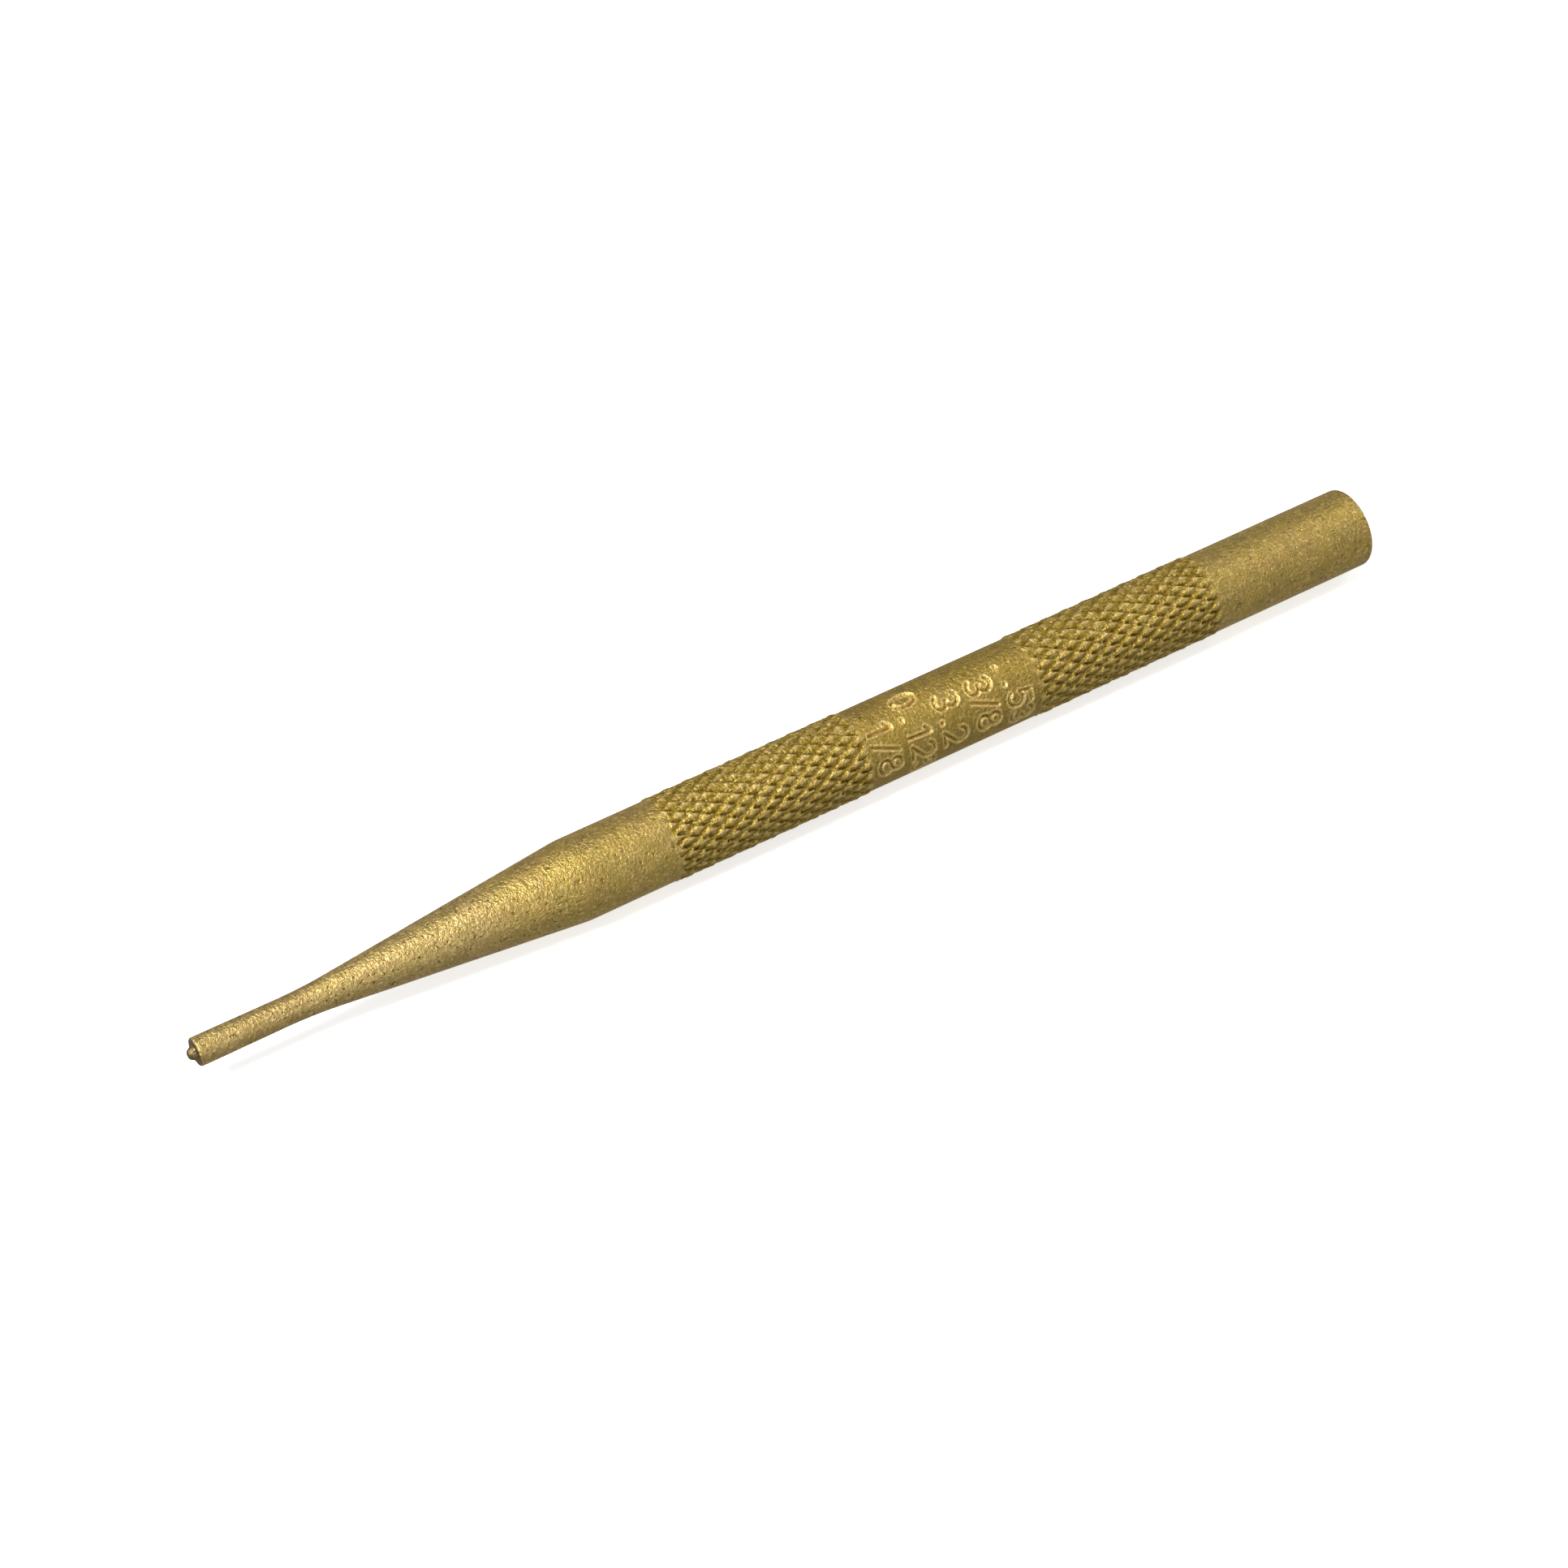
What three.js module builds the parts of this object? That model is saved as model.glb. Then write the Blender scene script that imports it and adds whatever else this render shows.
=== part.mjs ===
// A pilot punch: a hand punch turned from one round brass bar. The pilot nub on its tip centres it in a
// hollow roll pin, and the shoulder round the nub drives that pin out. Behind them come a slim pin, a long
// taper, two diamond-knurled grips with a plain band between them, and the flat head that is struck.
// It lies along X as on a bench, the tip towards -X and the head towards +X, with +Z up. The origin is on
// the surface that it lies on, under the middle of its length. Sizes are in millimetres.

import * as THREE from "three";

// Lengths of the sections along the axis, from the tip to the head
const PILOT_HEIGHT = 0.8;
const PIN_LENGTH = 13.2;
const TAPER_LENGTH = 32.4;
const NOSE_LENGTH = 11.0;
const GRIP_LENGTH = 25.2;
const BAND_LENGTH = 22.6;
const HEAD_LENGTH = 22.0;

// Diameters of the turned sections
const PILOT_NOSE_DIAMETER = 0.9;
const PILOT_BASE_DIAMETER = 1.9;
const PIN_TIP_DIAMETER = 3.3;
const PIN_ROOT_DIAMETER = 3.175; // relieved, so that the pin runs free in the hole behind its tip
const BAR_DIAMETER = 9.525;

// Radii of the rounded corners of the turned outline
const PILOT_NOSE_ROUND = 0.35;
const PIN_EDGE_ROUND = 0.25;
const PIN_TO_TAPER_ROUND = 60;
const TAPER_TO_NOSE_ROUND = 12;
const HEAD_EDGE_ROUND = 0.5;

// Diamond knurl, rolled into both grips by two sets of crossing grooves
const KNURL_PITCH = 1.575; // from groove to groove, round the bar
const KNURL_ANGLE = 30; // of the grooves to the axis, in degrees
const KNURL_RISE = 0.16; // of the diamonds above the bar, where the rolling pushed the metal up
const GROOVE_DEPTH = 0.32; // below the diamonds' flat tops
const GROOVE_WIDTH = 0.56; // across a groove, between two flat tops
const GROOVE_RUNOUT = 0.4; // along the axis, where the grooves end in the plain bar

// Finish
const BRASS_COLOUR = 0xa58c4c;
const BRASS_ROUGHNESS = 0.5;

// Steps in each rounded corner
const CORNER_STEPS = 3;

const BAR_RADIUS = BAR_DIAMETER / 2;
const TOP_RADIUS = BAR_RADIUS + KNURL_RISE;
const GROOVE_RADIUS = TOP_RADIUS - GROOVE_DEPTH;

// The grooves of one set, and the angle from one diamond to the next beside it
const GROOVES = Math.round((Math.PI * BAR_DIAMETER) / KNURL_PITCH);
const DIAMOND_ANGLE = (2 * Math.PI) / GROOVES;

// Half rows of diamonds along a grip, an even count so that both ends of the grip are alike
const KNURLED_LENGTH = GRIP_LENGTH - 2 * GROOVE_RUNOUT;
const DIAMOND_LENGTH = KNURL_PITCH / Math.tan(THREE.MathUtils.degToRad(KNURL_ANGLE));
const HALF_ROWS = 2 * Math.max(1, Math.round(KNURLED_LENGTH / DIAMOND_LENGTH));
const HALF_ROW_LENGTH = KNURLED_LENGTH / HALF_ROWS;

// Share of a diamond's half diagonals that its flat top takes, the rest being the slopes of the grooves
const GROOVE_SPACING = KNURL_PITCH * Math.cos(THREE.MathUtils.degToRad(KNURL_ANGLE));
const TOP_SHARE = 1 - GROOVE_WIDTH / GROOVE_SPACING;

// Where each section ends along the axis, counted from the point of the pilot
const SHOULDER_X = PILOT_HEIGHT;
const PIN_END_X = SHOULDER_X + PIN_LENGTH;
const TAPER_END_X = PIN_END_X + TAPER_LENGTH;
const FRONT_GRIP_X = TAPER_END_X + NOSE_LENGTH;
const BAND_X = FRONT_GRIP_X + GRIP_LENGTH;
const REAR_GRIP_X = BAND_X + BAND_LENGTH;
const HEAD_X = REAR_GRIP_X + GRIP_LENGTH;
const OVERALL_LENGTH = HEAD_X + HEAD_LENGTH;

// Angles of the points round a ring: each groove crossing, then the two edges and the middle of a diamond.
// A coarse ring, for the slim front end, keeps only the crossings and the middles.
const FINE_STEPS = [0, 1 - TOP_SHARE, 1, 1 + TOP_SHARE];
const COARSE_STEPS = [0, 1];

// The punch's surface, gathered point by point and triangle by triangle
const points = [];
const triangles = [];

// A point at a distance along the axis, and at a radius and angle round it. Angle 0 lies on the middle of a
// diamond at the bottom, so that the knurl rests on its flat tops.
function addPoint(along, radius, angle) {
  const turn = angle - DIAMOND_ANGLE / 2;
  points.push(
    along - OVERALL_LENGTH / 2,
    radius * Math.sin(turn),
    TOP_RADIUS - radius * Math.cos(turn),
  );
  return points.length / 3 - 1;
}

function addTriangle(a, b, c) {
  triangles.push(a, b, c);
}

function addQuad(a, b, c, d) {
  addTriangle(a, b, c);
  addTriangle(a, c, d);
}

function addRing(along, radius, steps) {
  const ring = [];
  for (let groove = 0; groove < GROOVES; groove++) {
    for (const step of steps) {
      ring.push(addPoint(along, radius, (groove + step / 2) * DIAMOND_ANGLE));
    }
  }
  return ring;
}

// The strip of surface from one ring to the next one towards the head, which may have twice as many points
function joinRings(front, rear) {
  const finer = rear.length / front.length;
  front.forEach((here, i) => {
    const next = front[(i + 1) % front.length];
    const rearHere = rear[i * finer];
    const rearNext = rear[((i + 1) * finer) % rear.length];
    if (finer === 1) {
      addQuad(here, next, rearNext, rearHere);
    } else {
      const rearMiddle = rear[i * finer + 1];
      addTriangle(here, rearMiddle, rearHere);
      addTriangle(here, next, rearMiddle);
      addTriangle(next, rearNext, rearMiddle);
    }
  });
}

// A turned outline as points, from its corners. A corner with a round is cut by an arc of that radius, or of
// the largest one that its two sides have room for.
function roundCorners(corners) {
  return corners.flatMap(({ x, radius, round = 0 }, i) => {
    const corner = new THREE.Vector2(x, radius);
    if (round === 0) {
      return [corner];
    }
    const toward = (other) => new THREE.Vector2(other.x, other.radius).sub(corner);
    const back = toward(corners[i - 1]);
    const ahead = toward(corners[i + 1]);
    const room = Math.min(back.length(), ahead.length()) / 2;
    back.normalize();
    ahead.normalize();
    const halfAngle = Math.acos(back.dot(ahead)) / 2;
    const reach = Math.min(room, round / Math.tan(halfAngle));
    const arcRadius = reach * Math.tan(halfAngle);
    const inward = back.clone().add(ahead).setLength(arcRadius / Math.sin(halfAngle));
    const centre = corner.clone().add(inward);
    const start = back.clone().multiplyScalar(reach).add(corner).sub(centre);
    const end = ahead.clone().multiplyScalar(reach).add(corner).sub(centre);
    const clockwise = back.cross(ahead) > 0;
    const arc = new THREE.ArcCurve(
      centre.x,
      centre.y,
      arcRadius,
      start.angle(),
      end.angle(),
      clockwise,
    );
    return arc.getPoints(CORNER_STEPS);
  });
}

// The tip end: the pilot, the shoulder, the pin, the taper and the plain nose, as rings up to the front grip
function addTipEnd() {
  const outline = roundCorners([
    { x: 0, radius: 0 },
    { x: 0, radius: PILOT_NOSE_DIAMETER / 2, round: PILOT_NOSE_ROUND },
    { x: SHOULDER_X, radius: PILOT_BASE_DIAMETER / 2 },
    { x: SHOULDER_X, radius: PIN_TIP_DIAMETER / 2, round: PIN_EDGE_ROUND },
    { x: PIN_END_X, radius: PIN_ROOT_DIAMETER / 2, round: PIN_TO_TAPER_ROUND },
    { x: TAPER_END_X, radius: BAR_RADIUS, round: TAPER_TO_NOSE_ROUND },
    { x: FRONT_GRIP_X, radius: BAR_RADIUS },
  ]);
  const point = addPoint(0, 0, 0);
  const rings = outline.slice(1, -1).map(({ x, y }) => addRing(x, y, COARSE_STEPS));
  rings.push(addRing(FRONT_GRIP_X, BAR_RADIUS, FINE_STEPS));
  rings[0].forEach((here, i) => {
    addTriangle(point, rings[0][(i + 1) % rings[0].length], here);
  });
  rings.slice(1).forEach((ring, i) => joinRings(rings[i], ring));
  return rings.at(-1);
}

// A knurled grip from a plain ring to the next plain ring, which it returns. Groove crossings lie where a
// half row and a half diamond are both odd or both even, and diamonds have their middles at the others.
function addGrip(plainRing, gripX) {
  const startX = gripX + GROOVE_RUNOUT;
  const halfDiamonds = 2 * GROOVES;

  const at = (row, column, radius) =>
    addPoint(startX + row * HALF_ROW_LENGTH, radius, (column * DIAMOND_ANGLE) / 2);

  const crossings = new Map();
  const key = (row, column) => row * halfDiamonds + ((column + halfDiamonds) % halfDiamonds);
  for (let row = 0; row <= HALF_ROWS; row++) {
    for (let column = row % 2; column < halfDiamonds; column += 2) {
      crossings.set(key(row, column), at(row, column, GROOVE_RADIUS));
    }
  }
  const crossing = (row, column) => crossings.get(key(row, column));

  const endRings = { 0: [], [HALF_ROWS]: [] };
  for (let row = 0; row <= HALF_ROWS; row++) {
    for (let column = 1 - (row % 2); column < halfDiamonds; column += 2) {
      const low = at(row, column - TOP_SHARE, TOP_RADIUS);
      const high = at(row, column + TOP_SHARE, TOP_RADIUS);
      const lowCrossing = crossing(row, column - 1);
      const highCrossing = crossing(row, column + 1);

      // A diamond that the end of the grip cuts in half has its middle on that end's ring
      let frontTip;
      let rearTip;
      if (row === 0 || row === HALF_ROWS) {
        frontTip = at(row, column, TOP_RADIUS);
        rearTip = frontTip;
        endRings[row].push(lowCrossing, low, frontTip, high);
      }
      if (row > 0) {
        const frontCrossing = crossing(row - 1, column);
        frontTip = at(row - TOP_SHARE, column, TOP_RADIUS);
        addQuad(frontCrossing, highCrossing, high, frontTip);
        addQuad(lowCrossing, frontCrossing, frontTip, low);
      }
      if (row < HALF_ROWS) {
        const rearCrossing = crossing(row + 1, column);
        rearTip = at(row + TOP_SHARE, column, TOP_RADIUS);
        addQuad(highCrossing, rearCrossing, rearTip, high);
        addQuad(rearCrossing, lowCrossing, low, rearTip);
      }
      addTriangle(frontTip, high, rearTip);
      addTriangle(frontTip, rearTip, low);
    }
  }

  const nextPlainRing = addRing(gripX + GRIP_LENGTH, BAR_RADIUS, FINE_STEPS);
  joinRings(plainRing, endRings[0]);
  joinRings(endRings[HALF_ROWS], nextPlainRing);
  return nextPlainRing;
}

// The head end: plain bar from the rear grip to the flat face that the hammer strikes
function addHeadEnd(plainRing) {
  const outline = roundCorners([
    { x: HEAD_X, radius: BAR_RADIUS },
    { x: OVERALL_LENGTH, radius: BAR_RADIUS, round: HEAD_EDGE_ROUND },
    { x: OVERALL_LENGTH, radius: 0 },
  ]);
  const rings = outline.slice(1, -1).map(({ x, y }) => addRing(x, y, FINE_STEPS));
  [plainRing, ...rings].slice(0, -1).forEach((ring, i) => joinRings(ring, rings[i]));
  const centre = addPoint(OVERALL_LENGTH, 0, 0);
  const faceEdge = rings.at(-1);
  faceEdge.forEach((here, i) => {
    addTriangle(here, faceEdge[(i + 1) % faceEdge.length], centre);
  });
}

// The whole bar, from the point of the pilot to the struck face
function barGeometry() {
  const frontRing = addTipEnd();
  const bandFrontRing = addGrip(frontRing, FRONT_GRIP_X);
  const bandRearRing = addRing(REAR_GRIP_X, BAR_RADIUS, FINE_STEPS);
  joinRings(bandFrontRing, bandRearRing);
  const headRing = addGrip(bandRearRing, REAR_GRIP_X);
  addHeadEnd(headRing);

  const geometry = new THREE.BufferGeometry();
  geometry.setAttribute("position", new THREE.Float32BufferAttribute(points, 3));
  geometry.setIndex(triangles);
  geometry.computeVertexNormals();
  return geometry;
}

const brass = new THREE.MeshStandardMaterial({
  color: BRASS_COLOUR,
  roughness: BRASS_ROUGHNESS,
  metalness: 1,
  flatShading: true,
});

const punchBar = new THREE.Mesh(barGeometry(), brass);
punchBar.name = "punch_bar";

const pilotPunch = new THREE.Group();
pilotPunch.name = "pilot_punch";
pilotPunch.add(punchBar);

export default pilotPunch;
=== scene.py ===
# The looks of the pilot punch: one turned bar with a pilot tip, a taper, two diamond knurls and a striking
# head, in blasted brass. Shapes are worked out in millimetres, as distances along the bar's axis from the
# point of the pilot, radii and angles round the axis, and become metres only when the mesh is made.

import math

import bpy
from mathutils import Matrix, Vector, noise


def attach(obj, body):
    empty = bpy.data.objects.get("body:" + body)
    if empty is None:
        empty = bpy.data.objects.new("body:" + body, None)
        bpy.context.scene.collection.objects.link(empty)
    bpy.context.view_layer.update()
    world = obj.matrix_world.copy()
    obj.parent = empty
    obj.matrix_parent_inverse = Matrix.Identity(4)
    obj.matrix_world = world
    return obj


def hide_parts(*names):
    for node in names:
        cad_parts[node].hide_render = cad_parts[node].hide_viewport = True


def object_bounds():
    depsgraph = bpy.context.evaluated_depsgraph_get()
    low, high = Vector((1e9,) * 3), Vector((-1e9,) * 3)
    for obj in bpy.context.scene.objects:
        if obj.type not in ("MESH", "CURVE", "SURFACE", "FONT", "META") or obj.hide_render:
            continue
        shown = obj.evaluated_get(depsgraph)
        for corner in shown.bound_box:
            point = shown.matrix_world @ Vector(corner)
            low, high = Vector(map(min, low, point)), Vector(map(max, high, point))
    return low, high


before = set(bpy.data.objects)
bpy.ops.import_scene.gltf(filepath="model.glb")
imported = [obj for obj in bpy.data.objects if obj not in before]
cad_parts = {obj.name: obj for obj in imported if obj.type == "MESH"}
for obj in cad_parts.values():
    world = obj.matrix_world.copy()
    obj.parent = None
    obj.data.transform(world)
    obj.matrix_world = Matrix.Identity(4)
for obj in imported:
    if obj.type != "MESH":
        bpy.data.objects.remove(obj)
CAD_LOW, CAD_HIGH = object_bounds()

# Vectors of noise differ from run to run unless a seed is set
NOISE_SEED = 1
noise.seed_set(NOISE_SEED)

MM = 0.001

# Numbers closer together than this count as the same
TOLERANCE = 1e-6

# Sections along the bar, from the tip to the head
PILOT_HEIGHT = 0.8
PIN_LENGTH = 13.2
TAPER_LENGTH = 32.4
NOSE_LENGTH = 11.0
GRIP_LENGTH = 25.2
BAND_LENGTH = 22.6
OVERALL_LENGTH = (CAD_HIGH.x - CAD_LOW.x) / MM

SHOULDER_X = PILOT_HEIGHT
PIN_END_X = SHOULDER_X + PIN_LENGTH
TAPER_END_X = PIN_END_X + TAPER_LENGTH
FRONT_GRIP_X = TAPER_END_X + NOSE_LENGTH
BAND_X = FRONT_GRIP_X + GRIP_LENGTH
REAR_GRIP_X = BAND_X + BAND_LENGTH
HEAD_X = REAR_GRIP_X + GRIP_LENGTH

# Radii of the sections
KNURL_RISE = 0.16
TOP_RADIUS = (CAD_HIGH.z - CAD_LOW.z) / MM / 2
BAR_RADIUS = TOP_RADIUS - KNURL_RISE
PIN_ROOT_RADIUS = 1.5875
PIN_TIP_RADIUS = 1.65
PILOT_NOSE_RADIUS = 0.45
PILOT_BASE_RADIUS = 0.95

# Roundings of the turned outline
PILOT_NOSE_ROUND = 0.35
PILOT_ROOT_ROUND = 0.12
PIN_EDGE_ROUND = 0.25
PIN_TO_TAPER_ROUND = 60.0
TAPER_TO_NOSE_ROUND = 12.0
HEAD_EDGE_ROUND = 0.5

# Diamond knurl, with as many grooves of each hand round the bar. Its relief is lifted and then cut off
# at the bar's largest radius, which leaves small flats on top. Each diamond is sunk by a chance amount.
GROOVES = 19
HALF_ROWS = 18
GROOVE_DEPTH = 0.5
GROOVE_RUNOUT = 0.4
KNURL_LIFT = 0.1
DIAMOND_SINK = 0.05
DIAMOND_STRIDES = (3.7, 5.3)

# Fine grain on the knurl. Beyond the limit either way, low specks take dark colour as dirt and painted
# shade, and high ones light colour as wear and painted glints.
KNURL_GRAIN = 0.14
KNURL_GRAIN_LENGTH = 0.2
SPECK_LIMIT = 0.15
SPECK_DIRT_AND_SHADE = 1.5
SPECK_WEAR_AND_GLINT = 3.0

# The knurl was rolled with more pressure one way, so its diamonds lean. Heights are given by the share of
# the diamond's side, first across the ridges, then along them up to the steep end of the diamond.
RIDGE_TOP = 0.28
RIDGE_STEPS = (
    (0.0, 0.0),
    (0.08, 0.35),
    (0.18, 0.8),
    (RIDGE_TOP, 1.0),
    (0.4, 0.97),
    (0.55, 0.85),
    (0.7, 0.65),
    (1.0, 0.0),
)
RAMP_STEPS = ((0.0, 0.5), (0.3, 0.74), (0.6, 0.95), (0.7, 1.0), (0.8, 1.0), (0.9, 0.6), (1.0, 0.5))
KNURL_CUTS = (0.0, 0.1, 0.2, 0.3, 0.42, 0.56, 0.7, 0.85, 1.0)
RIDGE_SHARE = 0.55

# A notch runs slanting from each diamond's steep end: its depth by the share across the ridges, where it
# starts along them, how far it slants and its half width. Dark colour fills it as dirt and painted shade,
# over an ochre film on the whole knurl that is partly patina and partly painted shade.
NOTCH_STEPS = ((0.0, 0.0), (0.2, 0.0), (0.3, 0.7), (0.42, 1.0), (0.7, 1.0), (0.85, 0.6), (1.0, 0.0))
NOTCH_START = 0.86
NOTCH_SLANT = 0.3
NOTCH_HALF_WIDTH = 0.16
KNURL_FILM_AND_SHADE = 0.5

# Share of the knurl's relief, from the top down, that takes light colour as wear and painted highlight
WEAR_AND_HIGHLIGHT_SHARE = 0.25

# Stamped size marks on the band, in rows round it: the text, and the place of its row along the band
STAMPS = (("1/8", 2.2), ("0.125", 6.6), ("3.2", 11.0), ("3/8", 15.4), ("9.53", 19.8))
STAMP_MIDDLE = math.radians(243)
STAMP_HALF_WIDTH = 0.3
STAMP_DEPTH = 0.3
STAMP_FILM = 0.28
# Dark colour in the stamped strokes: dirt and painted shade
STAMP_DIRT_AND_SHADE = 0.3
STAMP_RIM = 0.07
STAMP_RIM_WIDTH = 0.24

# Figures of the marks. Their width, pitch, reach and shift are shares of their height.
FIGURE_HEIGHT = 2.9
FIGURE_WIDTH = 0.6
FIGURE_PITCH = 0.76
FIGURE_REACH = 0.62
FIGURE_SHIFT = 0.08
FIGURE_LEAN = 0.12
FIGURE_DEPTH_SPREAD = 0.4
FIGURE_STRIDES = (1.7, 2.9)
FIGURE_OFFSETS = (0.3, 0.7)
BOW_STEP = 20
BOW_LEAST_STEPS = 4

# Unevenness of the blasted surface
WAVE_HEIGHT = 0.012
WAVE_LENGTH = 3.0
WAVE_FALLOFF = 0.8
WAVE_RATIO = 2.0
WAVE_OCTAVES = 3

# Mesh spacing, in steps round the bar and in millimetres along it
SLIM_STEPS = 96
BAR_STEPS = 152
BAND_STEPS = 76
TURNED_STEP = 0.6
STAMP_STEP = 0.125
CORNER_STEPS = 6
SHARP_ANGLE = math.radians(60)

# Where along X the paler metal of the tip's side begins and where it is full, in metres
PALE_START_X = -0.034
PALE_FULL_X = -0.044

# Lights: name, place in metres and power in watts
LIGHT_SIZE = 0.35
LIGHTS = (
    ("key", (-0.48, 0, 0.64), 8.8),
    ("right_fill", (0.72, 0, 0.36), 1.3),
    ("front_fill", (0, -0.72, 0.36), 0.55),
    ("tip_side_fill", (-0.32, -0.7, 0.22), 0.6),
    ("top_fill", (0, 0, 0.8), 0.4),
)


def rounded_outline(corners):
    """Points (x, radius) of a turned outline. Each corner is (x, radius, round), and its arc is cut short
    where its sides have no room for it."""
    outline = []
    for i, (x, radius, rounding) in enumerate(corners):
        corner = Vector((x, radius))
        if rounding == 0:
            outline.append(corner)
            continue
        back = Vector(corners[i - 1][:2]) - corner
        ahead = Vector(corners[i + 1][:2]) - corner
        room = min(back.length, ahead.length) / 2
        back.normalize()
        ahead.normalize()
        half_angle = back.angle(ahead) / 2
        reach = min(room, rounding / math.tan(half_angle))
        centre = corner + (back + ahead).normalized() * (reach / math.cos(half_angle))
        start = corner + back * reach - centre
        end = corner + ahead * reach - centre
        start_angle = math.atan2(start.y, start.x)
        swing = math.atan2(start.cross(end), start.dot(end))
        for step in range(CORNER_STEPS + 1):
            angle = start_angle + swing * step / CORNER_STEPS
            outline.append(centre + start.length * Vector((math.cos(angle), math.sin(angle))))
    return outline


def even_angles(count):
    return [math.tau * i / count for i in range(count)]


def as_share(wave):
    """A value from -1 to 1 as a share from 0 to 1."""
    return 0.5 + 0.5 * wave


def unevenness(along, radius, angle):
    """How far the blasted surface lies below the turned one."""
    place = Vector((along, radius * math.cos(angle), radius * math.sin(angle))) / WAVE_LENGTH
    return WAVE_HEIGHT * as_share(noise.fractal(place, WAVE_FALLOFF, WAVE_RATIO, WAVE_OCTAVES))


class Skin:
    """A closed surface, gathered ring by ring. A ring is a list of (angle, point number) in order of angle.
    Each point also has two marks for the colour: how much ochre film and dark colour it takes, as film,
    dirt and painted shade, and how much light colour it takes, as wear and painted highlight."""

    def __init__(self):
        self.points = []
        self.faces = []

    def add_point(self, along, radius, angle, film_dirt_and_shade=0.0, wear_and_highlight=0.0):
        self.points.append((along, radius, angle, film_dirt_and_shade, wear_and_highlight))
        return len(self.points) - 1

    def add_ring(self, along, radius, angles):
        """A ring of blasted surface. It is smoother where it is narrower than the pin."""
        ring = []
        for angle in angles:
            low = unevenness(along, radius, angle) * min(1.0, radius / PIN_ROOT_RADIUS)
            ring.append((angle, self.add_point(along, radius - low, angle)))
        return ring

    def join(self, front, rear):
        """The strip from one ring to the next one towards the head, of quads where their angles agree."""
        same = len(front) == len(rear) and all(abs(a[0] - b[0]) < TOLERANCE for a, b in zip(front, rear))
        if same:
            for i in range(len(front)):
                j = (i + 1) % len(front)
                self.faces.append((front[i][1], front[j][1], rear[j][1], rear[i][1]))
            return
        here = 0
        there = 0
        ahead = front + [(front[0][0] + math.tau, front[0][1])]
        behind = rear + [(rear[0][0] + math.tau, rear[0][1])]
        while here < len(front) or there < len(rear):
            step_front = there == len(rear) or (
                here < len(front) and ahead[here + 1][0] <= behind[there + 1][0]
            )
            if step_front:
                self.faces.append((ahead[here][1], ahead[here + 1][1], behind[there][1]))
                here += 1
            else:
                self.faces.append((ahead[here][1], behind[there + 1][1], behind[there][1]))
                there += 1

    def close_front(self, point, ring):
        for i, (_, number) in enumerate(ring):
            self.faces.append((point, ring[(i + 1) % len(ring)][1], number))

    def close_rear(self, ring, point):
        for i, (_, number) in enumerate(ring):
            self.faces.append((number, ring[(i + 1) % len(ring)][1], point))


def step_value(steps, share):
    """A value read off steps of (share, value), with straight lines between them."""
    for (near, near_value), (far, far_value) in zip(steps, steps[1:]):
        if share <= far:
            return near_value + (far_value - near_value) * (share - near) / (far - near)
    return steps[-1][1]


def knurl_relief(across, ahead):
    """Height, dark mark (dirt and painted shade) and light mark (wear and painted highlight) of the knurl
    at shares of a diamond's two sides, across the ridges and along them."""
    ridge = step_value(RIDGE_STEPS, across) * step_value(RAMP_STEPS, ahead)
    aside = ahead - NOTCH_START - NOTCH_SLANT * (across - RIDGE_TOP)
    aside -= round(aside)
    notch = step_value(NOTCH_STEPS, across) * max(0.0, 1 - (aside / NOTCH_HALF_WIDTH) ** 2)
    height = RIDGE_SHARE * ridge + (1 - RIDGE_SHARE) * (1 - notch)
    # The notch takes dark colour as dirt and painted shade, over the ochre film
    film_dirt_and_shade = KNURL_FILM_AND_SHADE + (1 - KNURL_FILM_AND_SHADE) * notch
    # The top of the relief takes light colour as wear and painted highlight
    wear_and_highlight = max(0.0, 1 - (1 - height) / WEAR_AND_HIGHLIGHT_SHARE)
    return height, film_dirt_and_shade, wear_and_highlight


def add_turned(skin, outline, angles, ring=None):
    """Rings along a turned outline, joined to the ring before them. Long runs get rings between."""
    for i, spot in enumerate(outline):
        steps = 1
        if i > 0:
            steps = max(1, math.ceil((spot - outline[i - 1]).length / TURNED_STEP))
        for step in range(1, steps + 1):
            place = spot if i == 0 else outline[i - 1].lerp(spot, step / steps)
            new_ring = skin.add_ring(place.x, place.y, angles)
            if ring is not None:
                skin.join(ring, new_ring)
            ring = new_ring
    return ring


def add_tip_end(skin):
    """The pilot nub, the shoulder, the pin, the taper and the plain nose."""
    outline = rounded_outline(
        (
            (0.0, 0.0, 0),
            (0.0, PILOT_NOSE_RADIUS, PILOT_NOSE_ROUND),
            (SHOULDER_X, PILOT_BASE_RADIUS, PILOT_ROOT_ROUND),
            (SHOULDER_X, PIN_TIP_RADIUS, PIN_EDGE_ROUND),
            (PIN_END_X, PIN_ROOT_RADIUS, PIN_TO_TAPER_ROUND),
            (TAPER_END_X, BAR_RADIUS, TAPER_TO_NOSE_ROUND),
            (FRONT_GRIP_X, BAR_RADIUS, 0),
        )
    )
    point = skin.add_point(0.0, 0.0, 0.0)
    first = skin.add_ring(outline[1].x, outline[1].y, even_angles(SLIM_STEPS))
    skin.close_front(point, first)
    return add_turned(skin, outline[2:], even_angles(SLIM_STEPS), first)


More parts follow.
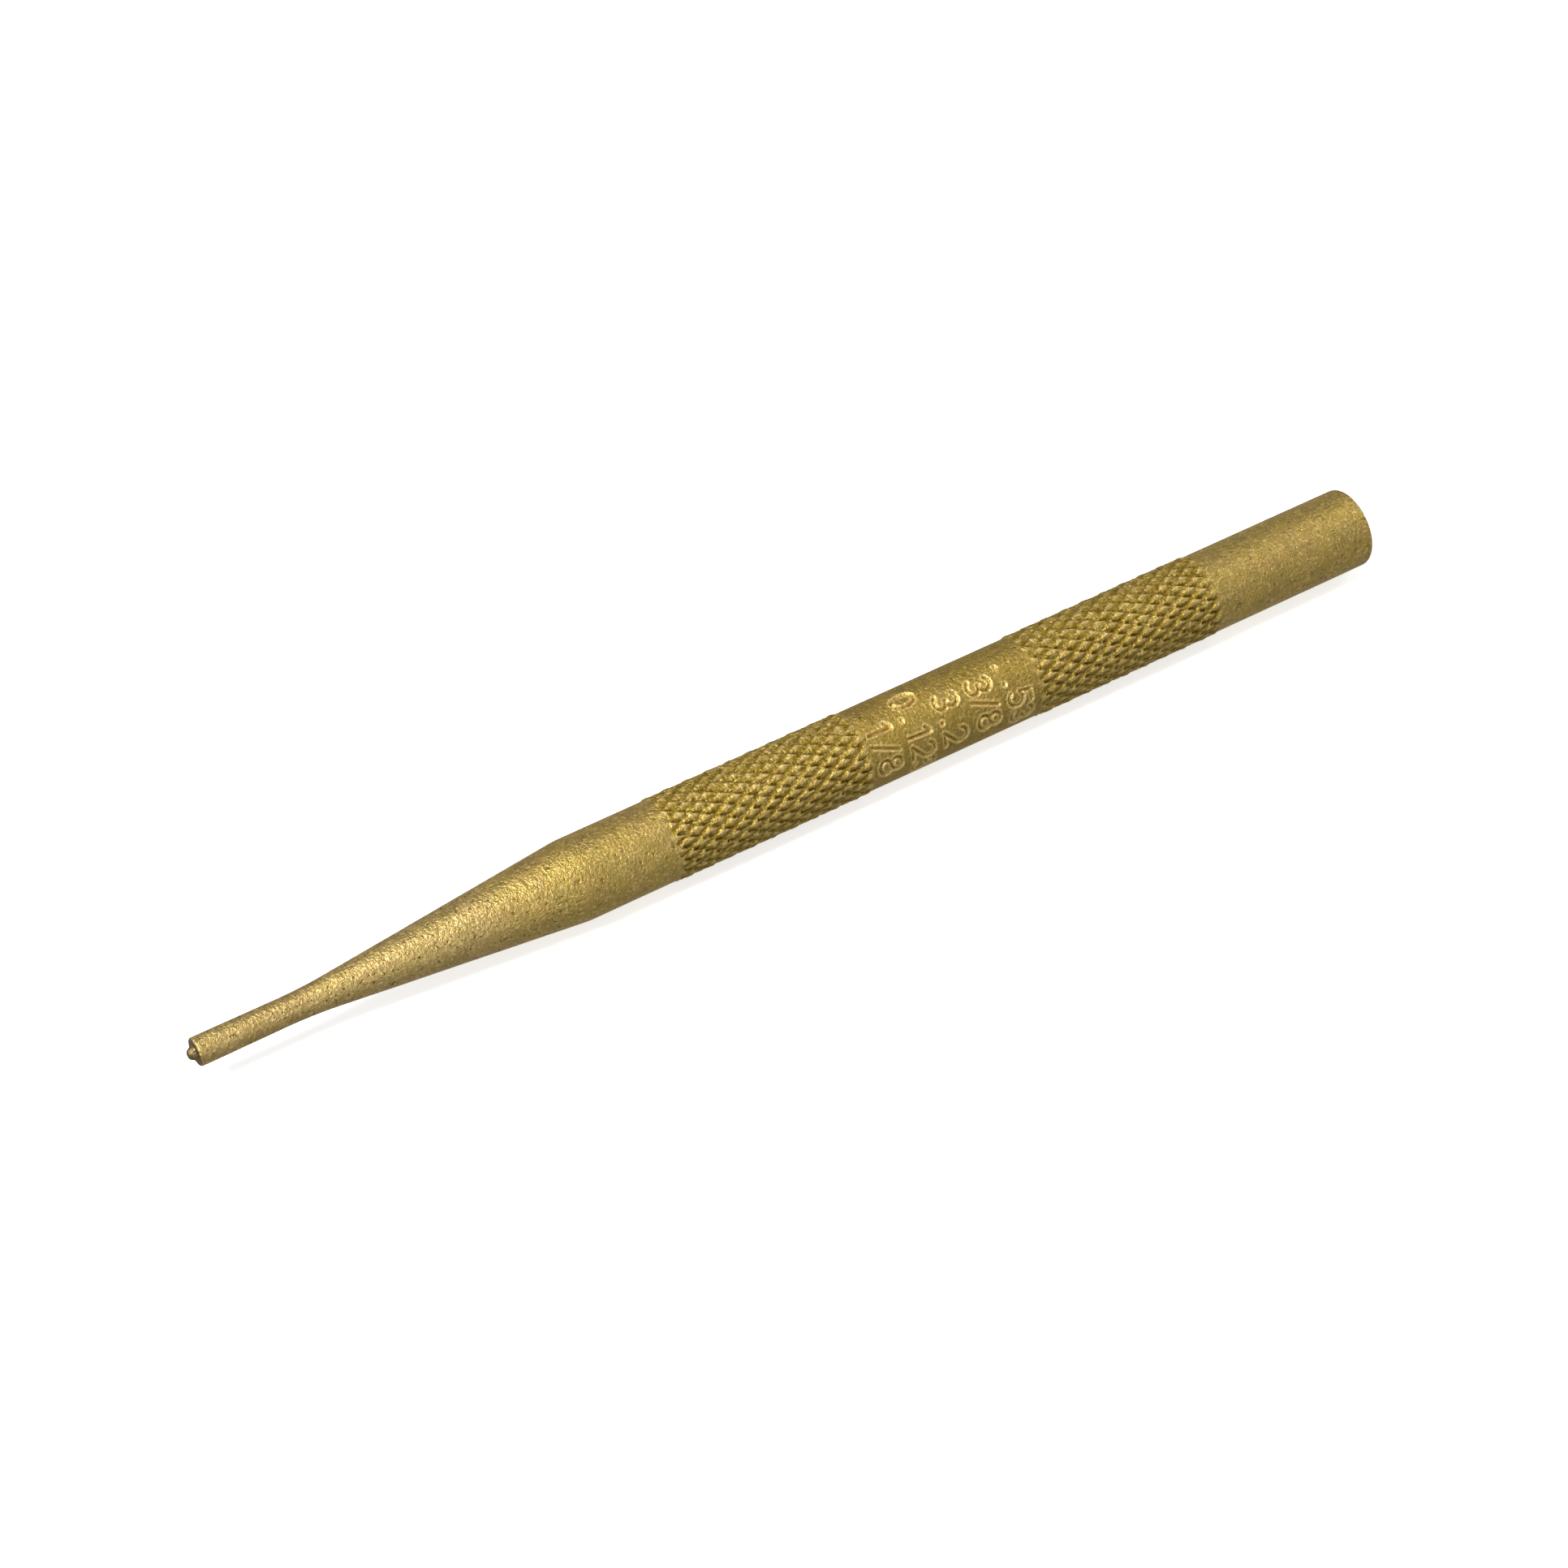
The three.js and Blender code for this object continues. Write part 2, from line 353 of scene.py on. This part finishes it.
def add_grip(skin, plain_ring, grip_x, seed):
    """A knurled grip behind a plain ring. Its mesh follows the grooves: one index counts along the grooves
    of each hand, and a whole number there is a groove. It returns the plain ring at its other end."""
    across = KNURL_CUTS
    ahead = [1 - s for s in reversed(KNURL_CUTS)]
    cuts = len(KNURL_CUTS) - 1
    row_length = (GRIP_LENGTH - 2 * GROOVE_RUNOUT) / HALF_ROWS
    start_x = grip_x + GROOVE_RUNOUT
    numbers = {}
    ends = ({}, {})

    def point(i, a, j, b):
        """The point at step a of diamond i along one hand and step b of diamond j along the other."""
        along_p = i * cuts + a
        along_q = j * cuts + b
        turns = along_p // (GROOVES * cuts)
        key = (along_p - turns * GROOVES * cuts, along_q + turns * GROOVES * cuts)
        if key in numbers:
            return numbers[key]
        p = i + across[a]
        q = j + ahead[b]
        row = p + q
        angle = ((p - q) * math.pi / GROOVES) % math.tau
        along = start_x + row * row_length
        height, film_dirt_and_shade, wear_and_highlight = knurl_relief(across[a], ahead[b])
        diamond = (key[0] // cuts * DIAMOND_STRIDES[0], key[1] // cuts * DIAMOND_STRIDES[1], seed)
        sink = DIAMOND_SINK * as_share(noise.noise(Vector(diamond)))
        radius = TOP_RADIUS + KNURL_LIFT - GROOVE_DEPTH * (1 - height) - sink * height
        speck = noise.noise(Vector((along, radius * angle, seed)) / KNURL_GRAIN_LENGTH)
        radius = min(TOP_RADIUS, radius - KNURL_GRAIN * as_share(speck))
        # Low specks take dark colour as dirt and painted shade, high ones light colour as wear and painted
        # glints
        film_dirt_and_shade = min(1.0, film_dirt_and_shade + SPECK_DIRT_AND_SHADE * max(0.0, speck - SPECK_LIMIT))
        wear_and_highlight = min(1.0, wear_and_highlight + SPECK_WEAR_AND_GLINT * max(0.0, -SPECK_LIMIT - speck))
        numbers[key] = skin.add_point(along, radius, angle, film_dirt_and_shade, wear_and_highlight)
        for end, end_row in enumerate((0, HALF_ROWS)):
            if abs(row - end_row) < TOLERANCE:
                ends[end][numbers[key]] = angle
        return numbers[key]

    for i in range(GROOVES):
        for j in range(-i - 1, HALF_ROWS - i):
            for a in range(cuts):
                for b in range(cuts):
                    corners = ((a, b), (a + 1, b), (a + 1, b + 1), (a, b + 1))
                    kept = []
                    for ca, cb in corners:
                        row = i + j + across[ca] + ahead[cb]
                        if -TOLERANCE <= row <= HALF_ROWS + TOLERANCE:
                            kept.append(point(i, ca, j, cb))
                    if len(kept) >= 3:
                        skin.faces.append(tuple(kept))

    first, last = (sorted((angle, number) for number, angle in end.items()) for end in ends)
    skin.join(plain_ring, first)
    next_ring = skin.add_ring(grip_x + GRIP_LENGTH, BAR_RADIUS, even_angles(BAR_STEPS))
    skin.join(last, next_ring)
    return next_ring


def bow(middle_x, middle_y, half_width, half_height, start, end):
    """Points of an elliptical arc, from one angle to the other, in degrees."""
    steps = max(BOW_LEAST_STEPS, round(abs(end - start) / BOW_STEP))
    arc = []
    for step in range(steps + 1):
        angle = math.radians(start + (end - start) * step / steps)
        arc.append((middle_x + half_width * math.cos(angle), middle_y + half_height * math.sin(angle)))
    return arc


def figure_strokes(figure):
    """The strokes of a plain figure, as lines of points in a box one high and FIGURE_WIDTH wide."""
    half = FIGURE_WIDTH / 2
    if figure == "0":
        return [bow(half, 0.5, half, 0.5, 0, 360)]
    if figure == "1":
        return [[(0.12, 0.8), (half + 0.05, 1.0), (half + 0.05, 0.0)]]
    if figure == "2":
        return [bow(half, 0.7, half, 0.3, 160, -35) + [(0.0, 0.0), (FIGURE_WIDTH, 0.0)]]
    if figure == "3":
        return [bow(half, 0.74, half * 0.9, 0.26, 150, -90), bow(half, 0.25, half, 0.25, 90, -150)]
    if figure == "5":
        return [[(0.54, 1.0), (0.1, 1.0), (0.04, 0.54)] + bow(half - 0.02, 0.32, half, 0.32, 110, -140)]
    if figure == "8":
        return [bow(half, 0.76, half * 0.85, 0.24, 0, 360), bow(half, 0.26, half, 0.26, 0, 360)]
    if figure == "/":
        return [[(0.05, -0.05), (0.55, 1.05)]]
    return [[(half - 0.02, 0.03), (half + 0.02, 0.03)]]


def stamped_strokes(text):
    """Line pieces (start, end, depth) of a stamped text about its middle, in millimetres along and up the
    text. Each figure is struck by hand, so it is a little turned, shifted, and deeper or shallower."""
    pieces = []
    first = -FIGURE_PITCH * (len(text) - 1) / 2
    for i, figure in enumerate(text):
        chance_x = i * FIGURE_STRIDES[0] + FIGURE_OFFSETS[0]
        chance_y = len(text) * FIGURE_STRIDES[1] + FIGURE_OFFSETS[1]
        wobble = noise.noise_vector(Vector((chance_x, chance_y, float(ord(figure)))))
        lean = FIGURE_LEAN * wobble.x
        shift = FIGURE_SHIFT * wobble.y
        depth = STAMP_DEPTH * (1 + FIGURE_DEPTH_SPREAD * wobble.z)
        for stroke in figure_strokes(figure):
            spots = []
            for x, y in stroke:
                x -= FIGURE_WIDTH / 2
                y -= 0.5
                u = x * math.cos(lean) - y * math.sin(lean) + first + FIGURE_PITCH * i
                v = x * math.sin(lean) + y * math.cos(lean) + shift
                spots.append(Vector((u, v)) * FIGURE_HEIGHT)
            for start, end in zip(spots, spots[1:]):
                pieces.append((start, end, depth))
    return pieces


def line_distance(spot, start, end):
    run = end - start
    share = max(0.0, min(1.0, (spot - start).dot(run) / run.length_squared))
    return (spot - start - run * share).length


def stamped_relief(spot, pieces):
    """Height, dark mark (dirt and painted shade in the stroke) and light mark (wear and painted highlight
    on its edge and rim) of a stamped surface: a round-bottomed stroke with a pushed-up rim."""
    nearest, depth = min((line_distance(spot, start, end), depth) for start, end, depth in pieces)
    if nearest < STAMP_HALF_WIDTH:
        share = nearest / STAMP_HALF_WIDTH
        sunk = as_share(math.cos(math.pi * share))
        return STAMP_RIM - (STAMP_RIM + depth) * sunk, STAMP_DIRT_AND_SHADE * sunk * sunk, 1 - sunk
    share = (nearest - STAMP_HALF_WIDTH) / STAMP_RIM_WIDTH
    if share > 1:
        return 0.0, 0.0, 0.0
    rim = (1 - share * share) ** 2
    return STAMP_RIM * rim, 0.0, rim


def band_angles():
    """Angles of the points round the band, close together where figures are stamped."""
    longest = FIGURE_HEIGHT * FIGURE_PITCH * max(len(text) for text, _ in STAMPS)
    reach = (longest / 2 + STAMP_RIM_WIDTH) / BAR_RADIUS
    fine = math.ceil(2 * reach * BAR_RADIUS / STAMP_STEP)
    angles = [STAMP_MIDDLE - reach + 2 * reach * i / fine for i in range(fine + 1)]
    angles += [a for a in even_angles(BAND_STEPS) if abs(a - STAMP_MIDDLE) > reach + math.pi / BAND_STEPS]
    return sorted(angles)


def add_band(skin, ring):
    """The band between the grips, with its stamped size marks. The figures run round the bar."""
    angles = band_angles()
    rows = [(place, stamped_strokes(text)) for text, place in STAMPS]
    reach = FIGURE_HEIGHT * FIGURE_REACH
    steps = round((BAND_LENGTH - 2 * STAMP_STEP) / STAMP_STEP)
    for step in range(1, steps):
        along = BAND_LENGTH * step / steps
        pieces = [(place, strokes) for place, strokes in rows if abs(along - place) < reach]
        new_ring = []
        for angle in angles:
            across = (angle - STAMP_MIDDLE) * BAR_RADIUS
            height, film_dirt_and_shade, wear_and_highlight = 0.0, 0.0, 0.0
            for place, strokes in pieces:
                height, film_dirt_and_shade, wear_and_highlight = stamped_relief(Vector((across, along - place)), strokes)
            film_dirt_and_shade = max(film_dirt_and_shade, STAMP_FILM)
            radius = BAR_RADIUS - unevenness(BAND_X + along, BAR_RADIUS, angle) + height
            new_ring.append((angle, skin.add_point(BAND_X + along, radius, angle, film_dirt_and_shade, wear_and_highlight)))
        skin.join(ring, new_ring)
        ring = new_ring
    next_ring = skin.add_ring(REAR_GRIP_X, BAR_RADIUS, even_angles(BAR_STEPS))
    skin.join(ring, next_ring)
    return next_ring


def add_head_end(skin, ring):
    """The plain head, its rounded edge and the flat face that is struck."""
    outline = rounded_outline(
        (
            (HEAD_X + TURNED_STEP, BAR_RADIUS, 0),
            (OVERALL_LENGTH, BAR_RADIUS, HEAD_EDGE_ROUND),
            (OVERALL_LENGTH, TURNED_STEP, 0),
        )
    )
    ring = add_turned(skin, outline, even_angles(BAR_STEPS), ring)
    skin.close_rear(ring, skin.add_point(OVERALL_LENGTH, 0.0, 0.0))


def add_object(name, data):
    thing = bpy.data.objects.new(name, data)
    bpy.context.scene.collection.objects.link(thing)
    return thing


def make_mesh(name, skin):
    """The skin as a mesh object in metres, lying along X, with its marks as attributes of its points."""
    axis_z = CAD_LOW.z / MM + TOP_RADIUS
    middle_x = (CAD_LOW.x + CAD_HIGH.x) / MM / 2
    diamond_turn = math.pi / GROOVES
    places = []
    for along, radius, angle, _, _ in skin.points:
        turn = angle - diamond_turn
        places.append(
            (
                (along - OVERALL_LENGTH / 2 + middle_x) * MM,
                radius * math.sin(turn) * MM,
                (axis_z - radius * math.cos(turn)) * MM,
            )
        )
    mesh = bpy.data.meshes.new(name)
    mesh.from_pydata(places, [], skin.faces)
    for mark, column in (("film_dirt_and_shade", 3), ("wear_and_highlight", 4)):
        attribute = mesh.attributes.new(mark, "FLOAT", "POINT")
        attribute.data.foreach_set("value", [p[column] for p in skin.points])
    mesh.shade_smooth()
    mesh.set_sharp_from_angle(angle=SHARP_ANGLE)
    return add_object(name, mesh)


def make_bar():
    skin = Skin()
    ring = add_tip_end(skin)
    ring = add_grip(skin, ring, FRONT_GRIP_X, seed=1.0)
    ring = add_band(skin, ring)
    ring = add_grip(skin, ring, REAR_GRIP_X, seed=2.0)
    add_head_end(skin, ring)
    return make_mesh("blasted_bar", skin)


def new_node(tree, kind, inputs=None, **settings):
    """A shader node with its settings. An input takes a value, or a socket to be linked to it."""
    node = tree.nodes.new(kind)
    for name, value in settings.items():
        setattr(node, name, value)
    for socket, value in (inputs or {}).items():
        if isinstance(value, bpy.types.NodeSocket):
            tree.links.new(value, node.inputs[socket])
        else:
            node.inputs[socket].default_value = value
    return node


def between(tree, value, low, high, to_low=0.0, to_high=1.0, **settings):
    """A value stretched so that low to high becomes to_low to to_high, and cut off there."""
    inputs = {"Value": value, "From Min": low, "From Max": high, "To Min": to_low, "To Max": to_high}
    return new_node(tree, "ShaderNodeMapRange", inputs, **settings).outputs["Result"]


def grain(tree, place, size, low=0.3, high=0.7, detail=2.0):
    """Noise with features of a size in millimetres, from 0 to 1."""
    inputs = {"Vector": place, "Scale": 1 / (size * MM), "Detail": detail, "Roughness": 0.6}
    return between(tree, new_node(tree, "ShaderNodeTexNoise", inputs).outputs["Fac"], low, high)


def calculated(tree, operation, first, second):
    return new_node(tree, "ShaderNodeMath", {0: first, 1: second}, operation=operation).outputs[0]


def blend_colour(tree, amount, first, second):
    """The first colour where the amount is 0, the second where it is 1."""
    node = new_node(tree, "ShaderNodeMix", {0: amount, 6: first, 7: second}, data_type="RGBA")
    return node.outputs[2]


def turned_place(tree, place, stretch):
    """Places on the bar's unrolled surface, drawn out round the bar as the marks of turning are."""
    parts = new_node(tree, "ShaderNodeSeparateXYZ", {0: place}).outputs
    height = calculated(tree, "SUBTRACT", parts["Z"], CAD_LOW.z + TOP_RADIUS * MM)
    turn = calculated(tree, "ARCTAN2", parts["Y"], height)
    around = calculated(tree, "MULTIPLY", turn, BAR_RADIUS * MM / stretch)
    return new_node(tree, "ShaderNodeCombineXYZ", {0: parts["X"], 1: around}).outputs[0]


def brass_material():
    """Blasted brass: golden, paler towards the tip, with olive and brown patches, marks of turning, bright
    flecks and dark pits. An ochre film, partly patina and partly painted shade, covers the knurl and band;
    dark colour in the hollows is dirt and painted shade; worn spots are bright, as wear and painted
    highlight; and the pilot is darkened with painted shade."""
    golden = (0.6, 0.425, 0.1, 1)
    pale = (0.62, 0.455, 0.18, 1)
    olive = (0.41, 0.33, 0.085, 1)
    brown = (0.48, 0.32, 0.12, 1)
    bright = (0.95, 0.74, 0.3, 1)
    dark = (0.13, 0.08, 0.022, 1)
    # Ochre film colour: partly patina, partly painted shade of the knurl
    ochre = (0.27, 0.175, 0.006, 1)
    # Dark colour of the notches and stamped strokes: dirt and painted shade
    dirt_and_shade_colour = (0.12, 0.07, 0.0, 1)
    # Painted shade of the pilot nub and its shoulder
    painted_pilot_shade = (0.11, 0.082, 0.05, 1)

    material = bpy.data.materials.new("blasted_brass")
    material.use_nodes = True
    tree = material.node_tree
    shader = tree.nodes["Principled BSDF"]
    place = new_node(tree, "ShaderNodeTexCoord").outputs["Object"]
    along = new_node(tree, "ShaderNodeSeparateXYZ", {0: place}).outputs["X"]
    film_dirt_and_shade = new_node(tree, "ShaderNodeAttribute", attribute_name="film_dirt_and_shade").outputs["Fac"]
    wear_and_highlight = new_node(tree, "ShaderNodeAttribute", attribute_name="wear_and_highlight").outputs["Fac"]

    def mixed(first, second, pattern, share):
        return blend_colour(tree, calculated(tree, "MULTIPLY", pattern, share), first, second)

    tip_side = between(tree, along, PALE_START_X, PALE_FULL_X, interpolation_type="SMOOTHSTEP")
    shoulder = CAD_LOW.x + SHOULDER_X * MM
    # Where the pilot takes painted shade
    pilot = between(tree, along, shoulder + PIN_EDGE_ROUND * MM / 2, shoulder)
    film_and_shade = between(tree, film_dirt_and_shade, 0.0, KNURL_FILM_AND_SHADE)
    caked_dirt_and_shade = between(tree, film_dirt_and_shade, KNURL_FILM_AND_SHADE, 1.0)
    olive_patches = grain(tree, place, size=2.2, low=0.4, high=0.7)
    brown_patches = grain(tree, place, size=4.0, low=0.45, high=0.75, detail=4.0)
    streaks = grain(tree, turned_place(tree, place, stretch=6.0), size=0.4)
    flecks = grain(tree, place, size=0.35, low=0.52, high=0.72)
    pits = grain(tree, place, size=0.45, low=0.58, high=0.7)
    pit_share = between(tree, tip_side, 0.0, 1.0, to_low=0.6, to_high=0.9)

    colour = blend_colour(tree, tip_side, golden, pale)
    colour = mixed(colour, olive, olive_patches, share=0.6)
    colour = mixed(colour, brown, brown_patches, share=0.7)
    colour = mixed(colour, brown, streaks, share=0.5)
    colour = mixed(colour, bright, flecks, share=0.75)
    colour = mixed(colour, dark, pits, share=pit_share)
    # Ochre film over the knurl and band: partly patina, partly painted shade and inter-reflection of the
    # knurl
    colour = mixed(colour, ochre, film_and_shade, share=0.7)
    # Dark colour in the notches and strokes: dirt and painted shade
    colour = mixed(colour, dirt_and_shade_colour, caked_dirt_and_shade, share=0.9)
    # Light colour on crests, specks and stamp rims: wear and painted highlight
    colour = mixed(colour, bright, wear_and_highlight, share=0.65)
    # Painted shade darkens the pilot nub and its shoulder
    colour = mixed(colour, painted_pilot_shade, pilot, share=0.75)
    tree.links.new(colour, shader.inputs["Base Color"])

    added_by_film = 0.08
    roughness = between(tree, grain(tree, place, size=0.8), 0.0, 1.0, to_low=0.4, to_high=0.58)
    roughness = calculated(tree, "ADD", roughness, calculated(tree, "MULTIPLY", film_and_shade, added_by_film))
    tree.links.new(roughness, shader.inputs["Roughness"])
    shader.inputs["Metallic"].default_value = 1.0

    blast_depth = between(tree, film_and_shade, 0.0, 1.0, to_low=0.07 * MM, to_high=0.11 * MM)
    blast = {"Strength": 0.8, "Distance": blast_depth, "Height": grain(tree, place, size=0.35)}
    blasted = new_node(tree, "ShaderNodeBump", blast).outputs["Normal"]
    turning = {"Strength": 0.5, "Distance": 0.04 * MM, "Height": streaks, "Normal": blasted}
    turned = new_node(tree, "ShaderNodeBump", turning).outputs["Normal"]
    pitting = {"Strength": 0.7, "Distance": 0.06 * MM, "Height": pits, "Normal": turned}
    pitted = new_node(tree, "ShaderNodeBump", pitting, invert=True).outputs["Normal"]
    tree.links.new(pitted, shader.inputs["Normal"])
    return material


def floor_material():
    material = bpy.data.materials.new("pale_floor")
    material.use_nodes = True
    shader = material.node_tree.nodes["Principled BSDF"]
    shader.inputs["Base Color"].default_value = (0.85, 0.85, 0.85, 1)
    shader.inputs["Roughness"].default_value = 0.9
    shader.inputs["Emission Color"].default_value = (1.0, 1.0, 1.0, 1)
    shader.inputs["Emission Strength"].default_value = 0.65
    return material


def make_floor():
    half = 6.0
    corners = [(-half, -half, 0), (half, -half, 0), (half, half, 0), (-half, half, 0)]
    mesh = bpy.data.meshes.new("floor")
    mesh.from_pydata(corners, [], [(0, 1, 2, 3)])
    floor = add_object("floor", mesh)
    floor.data.materials.append(floor_material())
    floor.visible_glossy = False


def aim(thing, place, target):
    thing.location = place
    thing.rotation_euler = (Vector(target) - Vector(place)).to_track_quat("-Z", "Y").to_euler()


def make_camera():
    """A long lens, round towards the tip from the bar's side and above it."""
    azimuth = math.radians(32.49)
    elevation = math.radians(45.71)
    distance = 0.4761
    target_x = -0.0025
    target = Vector((target_x, 0.0, TOP_RADIUS * MM))
    data = bpy.data.cameras.new("camera")
    data.sensor_width = 36.0
    data.lens = 98.76
    data.clip_start = 0.01
    camera = add_object("camera", data)
    back = Vector(
        (
            -math.sin(azimuth) * math.cos(elevation),
            -math.cos(azimuth) * math.cos(elevation),
            math.sin(elevation),
        )
    )
    aim(camera, target + back * distance, target)
    bpy.context.scene.camera = camera


def make_area_light(name, place, power):
    data = bpy.data.lights.new(name, "AREA")
    data.size = LIGHT_SIZE
    data.energy = power
    aim(add_object(name, data), place, (0, 0, 0))


def make_lights():
    """A soft key light above the tip's side and weak fills, in an evenly lit pale room."""
    horizon = 0.2
    strength_below = 0.37
    strength_above = 0.31
    world = bpy.data.worlds.new("studio")
    bpy.context.scene.world = world
    world.use_nodes = True
    tree = world.node_tree
    direction = new_node(tree, "ShaderNodeTexCoord").outputs["Generated"]
    height = new_node(tree, "ShaderNodeSeparateXYZ", {0: direction}).outputs["Z"]
    background = tree.nodes["Background"]
    strength = between(tree, height, -horizon, horizon, strength_below, strength_above)
    tree.links.new(strength, background.inputs["Strength"])
    backdrop = new_node(tree, "ShaderNodeBackground", {"Strength": 1.0})
    is_camera_ray = new_node(tree, "ShaderNodeLightPath").outputs["Is Camera Ray"]
    seen = new_node(
        tree,
        "ShaderNodeMixShader",
        {0: is_camera_ray, 1: background.outputs[0], 2: backdrop.outputs[0]},
    )
    tree.links.new(seen.outputs[0], tree.nodes["World Output"].inputs["Surface"])
    for shader in (background, backdrop):
        shader.inputs["Color"].default_value = (1.0, 1.0, 1.0, 1)
    for name, place, power in LIGHTS:
        make_area_light(name, place, power)


bpy.context.scene.view_settings.view_transform = "Standard"
make_floor()
make_camera()
make_lights()

bar = make_bar()
bar.data.materials.append(brass_material())
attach(bar, "root")
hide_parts("punch_bar")
